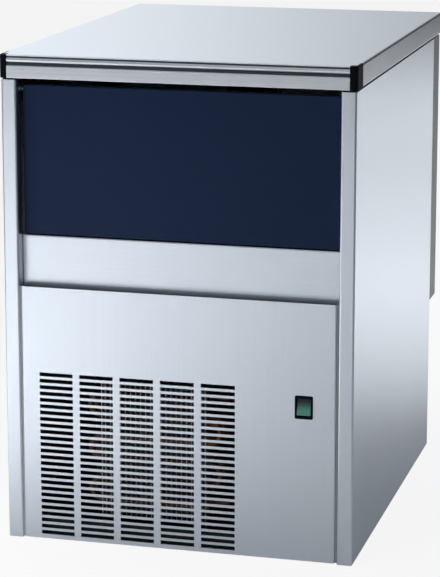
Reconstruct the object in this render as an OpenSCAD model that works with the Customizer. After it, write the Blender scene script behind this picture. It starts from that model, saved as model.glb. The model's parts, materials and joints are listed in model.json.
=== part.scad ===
// Self-contained flake ice machine: ice bin with an up-and-over door in front, freezing barrel with an
// auger behind it, refrigeration below. Millimetres, +Z up, front towards -Y, origin at the bottom centre.

/* [Cabinet] */
// Overall width across the top panel
cabinet_w = 500; // [450:1:560]
// Overall depth, from the front edge profile to the rear cover
cabinet_d = 660; // [590:1:730]
// Overall height
cabinet_h = 690; // [620:1:770]
// Depth of the rear cover behind the side panels
rear_cover_d = 57; // [50:1:70]
// Thickness of the cabinet's sheet metal
sheet_t = 1; // [0.8:0.1:1.4]
// Outside radius of the sheet metal bends
bend_r = 3; // [2:0.5:4]
// Clearance between pieces that seat on each other
seat_gap = 0.3; // [0.1:0.05:0.5]
// How far the top stands out past each side panel
top_overhang = 1.5; // [1:0.5:3]
// How far the front edge profile stands out past the posts
profile_overhang = 3; // [3:0.5:5]
// Height of the band round the top
top_band_h = 32.5; // [28:0.5:40]
// Thickness of the gasket under the top
gasket_t = 2.5; // [1.5:0.5:4]
// Thickness of the insulating slab under the top
top_slab_t = 20; // [10:1:26]
// Width of the rear flange of a side panel
rear_flange_w = 15; // [12:1:20]

/* [Front] */
// Width of a folded front post
post_w = 21.5; // [18:0.5:26]
// How far the door and the sill lie behind the posts
recess = 18; // [14:1:24]
// Height of the lower front panel
panel_h = 366; // [340:1:380]
// Gap between the lower front panel and each post
panel_gap = 3; // [2:0.5:4]
// Height from the top of the lower panel to the top of the sill
sill_rise = 70; // [60:1:80]
// Depth of the dark seal below the lower panel's top edge
seal_drop = 4; // [2:0.5:8]
// Thickness of that seal
seal_t = 3; // [2:0.5:5]
// Length of the sill behind the lower panel
sill_tail = 14; // [10:1:20]

/* [Front edge profile] */
// Depth of the profile, front to back
profile_d = 12; // [11:0.5:14]
// Radius of the half-round bead
bead_r = 3.8; // [3.5:0.1:4.5]
// Height of the seam between the bead and the top panel's hem
seam_h = 1.4; // [1:0.1:2]
// Length of that hem, front to back
hem_len = 6; // [4:0.5:7]
// Height of the groove under the bead
groove_h = 3.7; // [2:0.1:5]
// Depth of that groove
groove_d = 3.5; // [2:0.5:5]
// Wall of the profile's hollow
profile_wall = 2; // [1.5:0.5:3]
// Width of a corner cap on the front
cap_w = 10.5; // [9:0.5:14]
// Length of a corner cap along the side
cap_side_len = 36; // [30:1:45]
// Thickness of a corner cap along the side
cap_t = 3; // [2:0.5:4]
// Radius of a corner cap's outer corner
cap_r = 6; // [4:0.5:8]

/* [Grille] */
// Number of slot columns
grille_columns = 5; // [3:1:5]
// Number of slots in a column
grille_rows = 26; // [10:1:28]
// Length of a slot
slot_w = 48.5; // [40:0.5:52]
// Height of a slot
slot_h = 5.5; // [3:0.1:6]
// Distance between columns
column_pitch = 58.4; // [56:0.1:60]
// Distance between rows
row_pitch = 9.23; // [8:0.01:9.5]
// Distance of the grille from the lower panel's left edge
grille_margin = 25; // [12:1:40]
// Height of the lowest slot's centre
grille_z = 10.5; // [9:0.5:20]

/* [Door] */
// Thickness of the door
door_t = 12; // [10:1:14]
// Gap between the door and each post
door_side_gap = 3; // [2:0.5:5]
// Gap under the door
door_bottom_gap = 1.5; // [1:0.5:4]
// Gap between the door and the top band
door_top_gap = 11; // [10:0.5:16]
// Radius of the door's corners
door_corner_r = 4; // [2:0.5:6]
// Depth of the panel sunk into the door's inner side
door_sink = 4; // [2:0.5:5]
// Width of the border round that sunk panel
door_border = 24; // [18:1:40]
// Radius of a pivot pin
pin_r = 3; // [2.5:0.1:3.5]
// Distance of the pivot from the door's top edge
pin_drop = 6.5; // [6:0.5:8]
// Length of a pivot pin inside the door
pin_engage = 10; // [8:1:20]
// Radial running clearance of a pin or shaft
run_gap = 0.05; // [0.02:0.01:0.1]
// Height of a sliding shoe
shoe_h = 9.4; // [8.5:0.1:10]
// Length of a sliding shoe
shoe_len = 20; // [14:1:30]
// Width of a sliding shoe
shoe_w = 8.5; // [7:0.5:9.5]
// Thickness of a guide rail's flanges
rail_t = 2; // [1.5:0.5:3]
// Length of a guide rail
rail_len = 230; // [215:1:260]

/* [Ice bin] */
// Wall thickness of the bin liner
liner_t = 2.5; // [2:0.5:4]
// Gap between the door's edge and the liner
door_clear = 2.5; // [2:0.5:4]
// Gap between the closed door and the liner
door_seat = 0.5; // [0.4:0.1:1]
// Thickness of the bin's front wall at the lip
bin_lip_d = 13.5; // [12:0.5:20]
// Height of the bin floor
bin_floor = 300; // [292:1:320]
// Corner radius of the bin's rear wall
bin_corner_r = 20; // [10:1:30]
// Thickness of the foam behind the bin
rear_foam_t = 27; // [20:1:28]
// Radius of the bin's drain
bin_drain_r = 10; // [8:0.5:14]
// Height of the shelf under the bin
shelf_z = 264; // [262:1:268]
// Outer radius of the level probe's tube
probe_r = 6; // [4:0.5:8]

/* [Ice maker] */
// Inner radius of the freezing barrel
barrel_r = 34; // [32:0.5:36]
// Wall of the freezing barrel
barrel_t = 4; // [3:0.5:5]
// Distance of the barrel's axis from the rear edge of the side panels
barrel_inset = 63; // [56:1:72]
// Outer radius of the barrel's foam shell
barrel_foam_r = 62; // [56:1:62]
// Clearance between the auger and the barrel
auger_clear = 0.6; // [0.4:0.1:1]
// Radius of the auger's core
auger_core_r = 14; // [12:0.5:18]
// Radius of the auger's shaft ends
auger_shaft_r = 10; // [8:0.5:11]
// Pitch of the auger's flight
auger_pitch = 40; // [30:1:60]
// Thickness of the auger's flight
auger_flight_t = 5; // [4:0.5:8]
// Height of the drive pedestal's top
pedestal_h = 214.5; // [205:0.5:220]
// Height of the gear reducer
reducer_h = 75; // [65:1:80]
// Height of the lower bearing housing
bearing_h = 40; // [36:1:50]
// Height of the ice breaker head
head_h = 26; // [22:1:30]
// Outer width of the ice spout
spout_w = 84; // [80:1:100]
// Outer height of the ice spout
spout_h = 52; // [46:1:52]
// Wall of the ice spout
spout_t = 2.5; // [2:0.5:3.5]

/* [Refrigeration] */
// Radius of the compressor's can
compressor_r = 75; // [65:1:76]
// Height of the compressor's can
compressor_h = 185; // [160:1:200]
// Number of condenser fins
fin_count = 20; // [10:1:21]
// Distance between fins
fin_pitch = 7.4; // [6:0.1:7.6]
// Thickness of a fin
fin_t = 0.8; // [0.6:0.1:1]
// Number of tubes in a condenser row
tube_rows = 6; // [4:2:6]
// Distance between the tubes of a row
tube_pitch = 31; // [28:0.5:32]
// Radius of a condenser tube
tube_r = 4.7; // [4:0.1:5]
// Depth of the condenser
condenser_d = 44; // [40:1:46]
// Radius of the fan
fan_r = 84; // [70:1:86]
// Number of fan blades
fan_blades = 5; // [3:1:7]
// Pitch angle of the fan blades
fan_pitch_deg = 28; // [20:1:32]
// Radius of the fan's hub
hub_r = 20; // [16:1:26]
// Radius of the fan motor
motor_r = 38; // [30:1:42]
// Radius of the refrigerant pipes
pipe_r = 5; // [3:0.5:6]

/* [Water and electrics] */
// Width of the float tank
tank_w = 90; // [80:1:100]
// Depth of the float tank
tank_d = 85; // [75:1:90]
// Height of the float tank
tank_h = 90; // [80:1:100]
// Wall of the float tank
tank_t = 2.5; // [2:0.5:4]
// Outer radius of the water inlet's thread
inlet_r = 13.2; // [10:0.1:14]
// Outer radius of the drain outlet
outlet_r = 12; // [9:0.5:13]
// Radius of the cable gland's passage
gland_bore_r = 4.5; // [3:0.5:6]
// Width of the switch's bezel
switch_w = 25.4; // [22:0.2:30]
// Height of the switch's bezel
switch_h = 32.6; // [28:0.2:36]
// Distance of the switch's centre from the lower panel's right edge
switch_margin = 44; // [30:1:60]
// Height of the switch's centre
switch_z = 220.5; // [205:0.5:230]
// Tilt of the rocker at rest
rocker_deg = 8; // [5:1:10]
// Distance of the foot inserts from the base's edges
foot_inset = 27; // [20:1:60]
// Radius of a foot insert's hole
foot_hole_r = 4.25; // [3:0.25:5]

/* [Hidden] */
$fn = 48;

// Overall limits and the planes of the cabinet
half_w = cabinet_w / 2;
front_limit = -cabinet_d / 2;
rear_limit = cabinet_d / 2;
body_half = half_w - top_overhang;
panel_in = body_half - sheet_t;
front_y = front_limit + profile_overhang;
face_y = front_y + recess;
body_back = rear_limit - rear_cover_d;
band_z = cabinet_h - top_band_h;
side_top = band_z - gasket_t;
post_in = body_half - post_w;
top_lip_w = 13;
lip_in = half_w - top_lip_w;

// Front edge profile
web_back = front_limit + profile_d;
hem_z = cabinet_h - 2 * sheet_t;
hem_front = front_limit + 0.5;
hem_back = hem_front + hem_len;
bead_top = hem_z - seam_h;
bead_z = bead_top - bead_r;
groove_top = bead_z - bead_r;
groove_bottom = groove_top - groove_h;
flat_edge_r = 1.5;
cap_in = half_w - cap_w;
cap_back = front_limit + cap_side_len;

// Lower front panel, sill and base
panel_half = post_in - panel_gap;
base_t = 1.5;
base_flange_h = 25;
base_front = face_y + seat_gap;
base_back = body_back - bend_r - seat_gap;
base_half = panel_in - seat_gap;
foot_x = base_half - foot_inset;
foot_y = base_back - foot_inset;
panel_z = base_t;
sill_top = panel_h + sill_rise;
sill_half = post_in - 0.8;
return_z = panel_h - seal_drop - seal_t - seat_gap;

// Door, pins and rails
door_half = post_in - door_side_gap;
door_z = sill_top + door_bottom_gap;
door_top = band_z - door_top_gap;
pin_y = face_y + door_t / 2;
pin_z = door_top - pin_drop;
rail_in = post_in + sheet_t + seat_gap;
shoe_in = rail_in + seat_gap;
rail_web = shoe_in + shoe_w + seat_gap;
rail_slot_h = shoe_h + 2 * seat_gap;
rail_front = pin_y - shoe_len / 2 - 4;
rail_foot_drop = 22;

// Ice bin
bin_top = pin_z - rail_foot_drop;
liner_front = face_y + door_t + door_seat;
liner_half = door_half + door_clear;
bin_front = liner_front + bin_lip_d;
barrel_y = body_back - barrel_inset;
shell_clear = 5;
foam_back = barrel_y - barrel_foam_r - shell_clear;
bin_back = foam_back - rear_foam_t - liner_t;
lip_z = sill_top - 2;
foam_half = panel_in - seat_gap;
shelf_t = 1.2;
foam_floor = shelf_z + shelf_t + seat_gap;
bin_drain_x = -150;
bin_drain_y = bin_back - 40;
bin_drain_t = 3;
drain_pass_r = bin_drain_r + bin_drain_t + 1;
drain_spigot_z = shelf_z - 16;
probe_x = 130;
probe_len = 60;
probe_drop = 83;
probe_z = bin_top - probe_drop;

// Ice maker, from the pedestal upwards
reducer_z = pedestal_h + seat_gap;
reducer_top = reducer_z + reducer_h;
bearing_z = reducer_top + seat_gap;
barrel_z = bearing_z + bearing_h + seat_gap;
spout_drop = 5.3;
spout_z = bin_top - spout_h - spout_drop;
barrel_top = spout_z - seat_gap;
barrel_len = barrel_top - barrel_z;
barrel_out = barrel_r + barrel_t;
jacket_r = barrel_out + 6;
jacket_z = barrel_z + 16;
jacket_top = barrel_top - 30;
barrel_flange_r = 46;
barrel_flange_t = 8;
head_z = barrel_top + seat_gap;
shaft_bore_r = auger_shaft_r + run_gap;
auger_r = barrel_r - auger_clear;
shaft_in_reducer = 18;
motor_drop = 105;
gear_motor_r = 44;
collar_in = barrel_out + seat_gap;
collar_out = collar_in + spout_t;
spout_front = bin_back - 15;
spout_clear = 0.4;
stub_r = pipe_r + 1;
stub_out = barrel_foam_r + 3;
suction_stub_drop = 60;
suction_stub_z = barrel_top - suction_stub_drop;
liquid_stub_rise = 30;
liquid_stub_z = barrel_z + liquid_stub_rise;
bearing_wall_r = barrel_r + 2;
feed_stub_r = 6;
feed_stub_len = 14;
hose_reach = 9;
feed_stub_z = bearing_z + 24;

// Rear
cover_back = rear_limit - 1;
cover_half = body_half - 1;
cover_z = 236;
cover_top = side_top;
rear_sheet_y = body_back + seat_gap;
rear_panel_half = body_half - 3;
rear_panel_z = 3;
rear_panel_top = cover_z - 3;
rear_out = rear_sheet_y + sheet_t;
screw_x = body_half - 9;
screw_r = 2;
screw_zs = [20, 118, 216];

// Refrigeration
compressor_x = 110;
compressor_y = foam_back - 85;
compressor_z = 18;
foot_plate_t = 3;
mount_span_x = 160;
mount_span_y = 120;
mount_hole_r = 8;
port_len = 16;
port_reach = compressor_r + port_len;
suction_port_z = 140;
discharge_port_z = 150;
condenser_x = -45;
condenser_front = base_front + 20;
condenser_back = condenser_front + condenser_d;
condenser_z = 30;
fin_h = tube_rows * tube_pitch + 10;
fin_span = (fin_count - 1) * fin_pitch;
tube_end = fin_span / 2 + 6;
end_plate_t = 1.2;
tube_ys = [condenser_front + condenser_d / 4, condenser_back - condenser_d / 4];
tube_zs = [for (i = [0 : tube_rows - 1]) condenser_z + 5 + (i + 0.5) * tube_pitch];
tube_hole_r = tube_r + 0.1;
fan_z = condenser_z + fin_h / 2;
shroud_front = condenser_back + seat_gap;
shroud_d = 36;
shroud_t = 1.2;
orifice_r = fan_r + 6;
orifice_y = shroud_front + shroud_d;
fan_y = orifice_y - 4;
fan_chord = 46;
blade_t = 1.6;
hub_len = 24;
motor_front = fan_y + hub_len / 2 + 6;
motor_len = 56;
motor_back = motor_front + motor_len;
fan_shaft_r = 3;
drier_x = -170;
drier_y = -60;
drier_z = 78;
drier_r = 13;
drier_len = 110;
pipe_bend = 22;
coil_reach = tube_end + 3;
elbow_reach = 34;
pipe_run = 60;
liquid_riser_x = -stub_out - 26;
suction_riser_x = liquid_riser_x - 40;

// Water and electrics
tank_x = 95;
tank_back = cover_back - sheet_t - seat_gap;
tank_front = tank_back - tank_d;
tank_drop = 195;
tank_z = cover_top - tank_drop;
tank_spout_x = tank_x + tank_w / 2;
lid_t = 3;
lid_z = tank_z + tank_h + 0.1;
lid_stub_in = 20;
lid_stub_len = 18;
tank_stub_len = 14;
tank_stub_y = tank_front + 20;
float_pin_r = 2;
float_arm_len = 44;
float_x = tank_x + tank_w / 2;
float_pin_y = tank_back - tank_t - 12;
float_pin_z = tank_z + tank_h - 14;
inlet_margin = 60.5;
inlet_x = -rear_panel_half + inlet_margin;
inlet_z = 140;
valve_half = 15;
valve_y = body_back - 46;
valve_back = rear_sheet_y - 1.3;
outlet_margin = 125.5;
outlet_x = -rear_panel_half + outlet_margin;
outlet_z = 45;
outlet_in = body_back - 30;
gland_margin = 55.5;
gland_x = rear_panel_half - gland_margin;
gland_z = 45;
gland_r = gland_bore_r + 4;
gland_in = body_back - 14;
switch_x = panel_half - switch_margin;
switch_body_w = switch_w - 3.4;
switch_body_h = switch_h - 2.6;
bezel_t = 1.6;
rocker_w = switch_w - 6;
rocker_h = switch_h - 7;
rocker_pin_r = 1.5;
rocker_gap = 0.5;
switch_front = front_y - bezel_t;
rocker_pin_y = front_y + 5;
box_w = 130;
box_gap = 12.5;
box_x = panel_in - box_gap - box_w;
box_front = base_front + 18;
box_d = 100;
box_h = 160;

// Box between two corners
module block(lo, hi) { translate(lo) cube(hi - lo); }
module rect2(lo, hi) { translate(lo) square(hi - lo); }
module rounded_rect(lo, hi, r) {
    rect2([lo.x + r, lo.y], [hi.x - r, hi.y]);
    rect2([lo.x, lo.y + r], [hi.x, hi.y - r]);
    for (x = [lo.x + r, hi.x - r], y = [lo.y + r, hi.y - r]) translate([x, y]) circle(r);
}

// Extrusions of a flat section: a section along X lies in YZ, along Y in XZ and along Z in XY
module along_x(x0, x1) { translate([x0, 0, 0]) rotate([90, 0, 90]) linear_extrude(x1 - x0) children(); }
module along_y(y0, y1) { translate([0, y1, 0]) rotate([90, 0, 0]) linear_extrude(y1 - y0) children(); }
module along_z(z0, z1) { translate([0, 0, z0]) linear_extrude(z1 - z0) children(); }
module rod_x(r, x0, x1, y, z) { translate([x0, y, z]) rotate([0, 90, 0]) cylinder(r = r, h = x1 - x0); }
module rod_y(r, y0, y1, x, z) { translate([x, y1, z]) rotate([90, 0, 0]) cylinder(r = r, h = y1 - y0); }
module rod_z(r, z0, z1, x, y) { translate([x, y, z0]) cylinder(r = r, h = z1 - z0); }
module both_sides() {
    children();
    mirror([1, 0, 0]) children();
}

// Closed sheet metal section with rounded bends, which a piece then opens
module sheet_tube(lo, hi, r) {
    t = [sheet_t, sheet_t];
    difference() {
        rounded_rect(lo, hi, r);
        rounded_rect(lo + t, hi - t, r - sheet_t);
    }
}

// Round tube along a list of points, with its corners rounded
function unit(v) = v / norm(v);
function eased(p, reach, steps) = [for (i = [0 : len(p) - 1])
    if (i == 0 || i == len(p) - 1) p[i]
    else let (a = p[i] + reach * unit(p[i - 1] - p[i]), b = p[i] + reach * unit(p[i + 1] - p[i]))
        for (s = [0 : steps]) let (t = s / steps) (1 - t) * (1 - t) * a + 2 * t * (1 - t) * p[i] + t * t * b];
function tangent(p, i) = unit(p[min(i + 1, len(p) - 1)] - p[max(i - 1, 0)]);
tube_ref = [0.31, 0.52, 0.79];
tube_sides = 10;
module tube(points, r, reach) {
    path = eased(points, reach, 4);
    rings = [for (i = [0 : len(path) - 1])
        let (t = tangent(path, i), u = unit(cross(t, tube_ref)), v = cross(t, u))
        for (k = [0 : tube_sides - 1])
            path[i] + r * (cos(360 * k / tube_sides) * u + sin(360 * k / tube_sides) * v)];
    last = (len(path) - 1) * tube_sides;
    sides = [for (i = [0 : len(path) - 2], k = [0 : tube_sides - 1])
        let (a = i * tube_sides + k, b = i * tube_sides + (k + 1) % tube_sides)
        [a, a + tube_sides, b + tube_sides, b]];
    ends = [[for (k = [0 : tube_sides - 1]) k], [for (k = [tube_sides - 1 : -1 : 0]) last + k]];
    polyhedron(points = rings, faces = concat(sides, ends), convexity = 6);
}

// Base, with turned-up edges and four threaded foot inserts
module base_tray() {
    insert_h = 14;
    color("gainsboro") difference() {
        union() {
            block([-base_half, base_front, 0], [base_half, base_back, base_t]);
            for (x = [-base_half, base_half - base_t])
                block([x, base_front, 0], [x + base_t, base_back, base_flange_h]);
            for (y = [base_front, base_back - base_t])
                block([-base_half, y, 0], [base_half, y + base_t, base_flange_h]);
            for (x = [-1, 1], y = [-1, 1])
                rod_z(2 * foot_hole_r, 0, insert_h, x * foot_x, y * foot_y);
        }
        for (x = [-1, 1], y = [-1, 1])
            rod_z(foot_hole_r, -1, insert_h + 1, x * foot_x, y * foot_y);
    }
}

// Side panel in one sheet: front post with its return, wall, rear flange and top flange
module side_section() {
    difference() {
        sheet_tube([post_in, front_y], [body_half, body_back], bend_r);
        rect2([post_in - 1, face_y], [body_half - rear_flange_w, body_back + 1]);
    }
}
module side_panel() {
    flange_in = body_half - rear_flange_w;
    along_z(0, side_top) side_section();
    block([flange_in, face_y, side_top - sheet_t],
        [body_half - sheet_t / 2, body_back - bend_r, side_top]);
}
module right_side_panel() { color("lightgray") side_panel(); }
module left_side_panel() { color("lightgray") mirror([1, 0, 0]) side_panel(); }

// Top panel: one sheet with folded side bands, a rear band, a hemmed front edge over the edge profile and a
// flange behind it
module top_section() {
    difference() {
        sheet_tube([-half_w, band_z], [half_w, cabinet_h], bend_r);
        rect2([-lip_in, band_z - 1], [lip_in, band_z + sheet_t + 1]);
    }
}
module hem_section() {
    nose_y = hem_front + sheet_t;
    translate([nose_y, hem_z + sheet_t]) circle(sheet_t);
    rect2([nose_y, hem_z], [hem_back, cabinet_h]);
}
module top_panel() {
    sheet_z = cabinet_h - sheet_t;
    sheet_mid = cabinet_h - sheet_t / 2;
    strip_half = half_w - cap_t - seat_gap;
    edge_half = cap_in - seat_gap;
    flange_y = web_back + seat_gap;
    band_front = cap_back + seat_gap;
    rear_in = rear_limit - sheet_t;
    color("gainsboro") {
        along_y(band_front, rear_limit) top_section();
        block([-lip_in - 1, rear_in, band_z], [lip_in + 1, rear_limit, sheet_mid]);
        both_sides() block([lip_in, rear_in, band_z + sheet_t / 2], [half_w - bend_r, rear_limit, sheet_mid]);
        block([-strip_half, flange_y, sheet_z], [strip_half, band_front + 1, cabinet_h]);
        along_x(-edge_half, edge_half) hem_section();
        block([-edge_half, hem_back - 1, sheet_z], [edge_half, flange_y + sheet_t, cabinet_h]);
        block([-edge_half, flange_y, band_z + bend_r], [edge_half, flange_y + sheet_t, sheet_mid]);
    }
}

// Extruded edge profile: half-round bead, groove, flat band, a rib that carries the top sheet and a hollow
module profile_section() {
    difference() {
        union() {
            translate([front_limit + bead_r, bead_z]) circle(bead_r);
            rect2([front_limit + bead_r, groove_top], [web_back, bead_top]);
            rect2([hem_back + seat_gap, bead_z], [web_back, cabinet_h - sheet_t - seat_gap]);
            rect2([front_limit + groove_d, band_z + flat_edge_r], [web_back, groove_top]);
            rounded_rect([front_limit, band_z], [web_back, groove_bottom], flat_edge_r);
        }
        rect2([front_limit + groove_d + profile_wall / 2, band_z + profile_wall],
            [web_back - profile_wall, groove_bottom - profile_wall]);
    }
}
module top_front_profile() {
    color("silver") along_x(-cap_in + seat_gap, cap_in - seat_gap) profile_section();
}

// Moulded corner cap that closes the profile's end and wraps round to the side band
module cap_section() {
    difference() {
        union() {
            rect2([cap_in, front_limit], [half_w, web_back]);
            rect2([half_w - cap_t, web_back], [half_w, cap_back]);
        }
        translate([half_w - cap_r, front_limit + cap_r]) difference() {
            translate([0, -cap_r - 1]) square(cap_r + 1);
            circle(cap_r);
        }
    }
}
module corner_cap() { along_z(band_z, cabinet_h) cap_section(); }
module right_corner_cap() { color("#15181a") corner_cap(); }
module left_corner_cap() { color("#15181a") mirror([1, 0, 0]) corner_cap(); }

// Gasket between the top and the side panels
module top_gasket() {
    squeeze = 0.1;
    inset = 2;
    strip_in = body_half - rear_flange_w + 1;
    strip_out = body_half - inset;
    color("#202326") both_sides() {
        block([strip_in, front_y + inset, side_top + squeeze],
            [strip_out, body_back - inset, band_z - squeeze]);
        block([post_in + inset, front_y + inset, side_top + squeeze],
            [strip_in, web_back, band_z - squeeze]);
    }
}

// Insulating slab under the top, over the bin
module top_insulation() {
    slab_z = cabinet_h - sheet_t - seat_gap;
    color("ivory") block([-door_half, web_back + 12, slab_z - top_slab_t], [door_half, foam_back, slab_z]);
}

// Recessed sill with a folded top edge
module sill_section() {
    sill_r = 2;
    foot_z = panel_h - sill_tail;
    sill_back = face_y + door_t;
    difference() {
        sheet_tube([face_y, foot_z - 2 * sill_r], [sill_back + 2 * sill_r, sill_top], sill_r);
        rect2([face_y - 1, foot_z - 3 * sill_r], [sill_back + 3 * sill_r, foot_z]);
        rect2([sill_back, foot_z - 1], [sill_back + 3 * sill_r, sill_top + 1]);
    }
}
module front_sill() { color("gainsboro") along_x(-sill_half, sill_half) sill_section(); }

// Dark seal in the gap between the lower panel and the sill
module sill_seal() {
    seal_half = panel_half - 2 * sheet_t;
    seal_top = panel_h - seal_drop;
    color("#25292c") block([-seal_half, front_y + sheet_t + seat_gap, seal_top - seal_t],
        [seal_half, face_y - seat_gap, seal_top]);
}

// Lower front panel: folded edges, slotted grille and the switch's cut-out
module grille_slots() {
    x0 = -panel_half + grille_margin + slot_w / 2;
    for (c = [0 : grille_columns - 1], r = [0 : grille_rows - 1])
        translate([x0 + c * column_pitch, grille_z + r * row_pitch]) square([slot_w, slot_h], center = true);
}
module front_panel() {
    panel_r = 2;
    return_back = face_y - seat_gap;
    cut_gap = 0.2;
    color("lightgray") {
        difference() {
            along_z(panel_z, panel_h) difference() {
                sheet_tube([-panel_half, front_y], [panel_half, return_back + 2 * panel_r], panel_r);
                rect2([-panel_half - 1, return_back], [panel_half + 1, return_back + 3 * panel_r]);
            }
            along_y(front_y - 1, front_y + sheet_t + 1) {
                grille_slots();
                translate([switch_x, switch_z])
                    square([switch_body_w + 2 * cut_gap, switch_body_h + 2 * cut_gap], center = true);
            }
        }
        for (z = [panel_z, return_z - sheet_t])
            block([-panel_half + sheet_t / 2, front_y + sheet_t / 2, z],
                [panel_half - sheet_t / 2, return_back, z + sheet_t]);
    }
}

// Lower rear panel with two columns of vent slots and the passages of the fittings
module rear_panel() {
    vent = [90, 5];
    vent_pitch = 12;
    vent_rows = 10;
    vent_z = 90;
    vent_xs = [-40, 90];
    color("silver") along_y(rear_sheet_y, rear_out) difference() {
        rect2([-rear_panel_half, rear_panel_z], [rear_panel_half, rear_panel_top]);
        for (x = vent_xs, i = [0 : vent_rows - 1])
            translate([x, vent_z + i * vent_pitch]) square(vent, center = true);
        translate([inlet_x, inlet_z]) circle(inlet_r + seat_gap);
        translate([outlet_x, outlet_z]) circle(outlet_r + seat_gap);
        translate([gland_x, gland_z]) circle(gland_r + seat_gap);
        for (x = [-screw_x, screw_x], z = screw_zs) translate([x, z]) circle(screw_r + seat_gap);
    }
}

// Deeper cover over the upper rear, as a folded pan
module rear_cover() {
    flange_in = cover_half - rear_flange_w;
    color("#8b9196") {
        along_z(cover_z, cover_top) difference() {
            sheet_tube([-cover_half, rear_sheet_y], [cover_half, cover_back], bend_r);
            rect2([-flange_in, rear_sheet_y - 1], [flange_in, rear_out + 1]);
        }
        along_z(cover_z, cover_z + sheet_t)
            rounded_rect([-cover_half, rear_sheet_y], [cover_half, cover_back], bend_r);
        both_sides() block([flange_in, rear_out - sheet_t / 2, cover_top - sheet_t],
            [cover_half - sheet_t / 2, cover_back - bend_r, cover_top]);
    }
}

// Pan-head screws of the rear panel
module rear_screws() {
    head_r = 4;
    head_t = 2.4;
    cross_len = 5;
    color("silver") for (x = [-screw_x, screw_x], z = screw_zs) difference() {
        union() {
            rod_y(head_r, rear_out, rear_out + head_t, x, z);
            rod_y(screw_r, body_back + 0.05, rear_out, x, z);
        }
        translate([x, rear_out + head_t, z]) cube([1, 2, cross_len], center = true);
        translate([x, rear_out + head_t, z]) cube([cross_len, 2, 1], center = true);
    }
}

// Shelf that carries the bin, with a turned-down rear edge
module bin_shelf() {
    skirt_h = 18;
    color("gainsboro") difference() {
        union() {
            block([-foam_half, face_y + seat_gap, shelf_z], [foam_half, foam_back, shelf_z + shelf_t]);
            block([-foam_half, foam_back - shelf_t, shelf_z - skirt_h],
                [foam_half, foam_back, shelf_z + shelf_t / 2]);
        }
        rod_z(drain_pass_r, shelf_z - 1, shelf_z + shelf_t + 1, bin_drain_x, bin_drain_y);
    }
}

// Outline of the bin in plan, grown outwards by grow
module bin_outline(grow) {
    rounded_rect([-liner_half - grow, bin_front + bin_corner_r], [liner_half + grow, bin_back + grow],
        bin_corner_r + grow);
    rect2([-liner_half - grow, bin_front - grow], [liner_half + grow, bin_back - 2 * bin_corner_r]);
}
module spout_hole(grow) {
    block([-spout_w / 2 - grow, bin_back - 2 * liner_t, spout_z - grow],
        [spout_w / 2 + grow, foam_back + 1, spout_z + spout_h + grow]);
}

// Foam round the bin, open at the front above the lip
module bin_insulation() {
    gap = liner_t + seat_gap;
    color("ivory") difference() {
        block([-foam_half, face_y + sheet_t + seat_gap, foam_floor], [foam_half, foam_back, bin_top - gap]);
        along_z(bin_floor - gap, bin_top) bin_outline(gap);
        block([-half_w, face_y, lip_z - gap], [half_w, liner_front + gap, bin_top]);
        block([-liner_half - gap, face_y, lip_z - gap],
            [liner_half + gap, bin_front + bin_corner_r, bin_top]);
        spout_hole(spout_clear);
        rod_z(drain_pass_r, foam_floor - 1, bin_floor, bin_drain_x, bin_drain_y);
        rod_y(probe_r + seat_gap, bin_back, foam_back + 1, probe_x, probe_z);
    }
}

// Moulded liner: tub, top rim, front lip and the frame that the door closes against
module bin_liner() {
    rim_half = foam_half;
    color("#3a4048") difference() {
        union() {
            along_z(bin_floor - liner_t, bin_top) bin_outline(liner_t);
            block([-rim_half, liner_front, bin_top - liner_t], [rim_half, foam_back, bin_top]);
            block([-rim_half, liner_front, lip_z - liner_t], [rim_half, liner_front + liner_t, bin_top]);
            block([-liner_half - liner_t, liner_front, lip_z - liner_t],
                [liner_half + liner_t, bin_front, bin_top]);
        }
        along_z(bin_floor, bin_top + 1) bin_outline(0);
        block([-liner_half, liner_front - 1, lip_z], [liner_half, bin_front + bin_corner_r, bin_top + 1]);
        spout_hole(spout_clear);
        rod_z(bin_drain_r + seat_gap, bin_floor - liner_t - 1, bin_floor + 1, bin_drain_x, bin_drain_y);
        rod_y(probe_r + seat_gap, bin_back - 1, bin_back + liner_t + 1, probe_x, probe_z);
    }
}

// Flanged drain in the bin floor
module bin_drain_fitting() {
    flange_t = 2.5;
    color("#d8dadb") difference() {
        union() {
            rod_z(bin_drain_r + 8, bin_floor + 0.1, bin_floor + flange_t, bin_drain_x, bin_drain_y);
            rod_z(bin_drain_r, drain_spigot_z, bin_floor + 0.1, bin_drain_x, bin_drain_y);
        }
        rod_z(bin_drain_r - 2, drain_spigot_z - 1, bin_floor + flange_t + 1, bin_drain_x, bin_drain_y);
    }
}
module bin_drain_hose() {
    fall = 85;
    run = 60;
    last_fall = 15;
    hose_bend = 14;
    color("#c9ced1") tube([[bin_drain_x, bin_drain_y, drain_spigot_z - seat_gap],
        [bin_drain_x, bin_drain_y, outlet_z + fall], [outlet_x, outlet_in - run, outlet_z + last_fall],
        [outlet_x, outlet_in - run / 2, outlet_z], [outlet_x, outlet_in, outlet_z]], bin_drain_r, hose_bend);
}

// Tube that holds the level probe inside the bin
module level_probe_tube() {
    color("silver") difference() {
        union() {
            rod_y(probe_r, bin_back - probe_len, foam_back + 4, probe_x, probe_z);
            rod_y(probe_r + 4, bin_back - 3, bin_back - 0.1, probe_x, probe_z);
        }
        rod_y(probe_r - 1, bin_back - probe_len + 2, foam_back + 5, probe_x, probe_z);
    }
}

// Door: moulded panel with rounded corners, a sunk inner side and pivot bores
module door_panel() {
    door_back = face_y + door_t;
    color("#1e2a44") difference() {
        along_y(face_y, door_back) rounded_rect([-door_half, door_z], [door_half, door_top], door_corner_r);
        along_y(door_back - door_sink, door_back + 1)
            rounded_rect([-door_half + door_border, door_z + door_border],
                [door_half - door_border, door_top - door_border], door_corner_r);
        both_sides() rod_x(pin_r + run_gap, door_half - pin_engage - 1, door_half + 1, pin_y, pin_z);
    }
}

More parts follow.
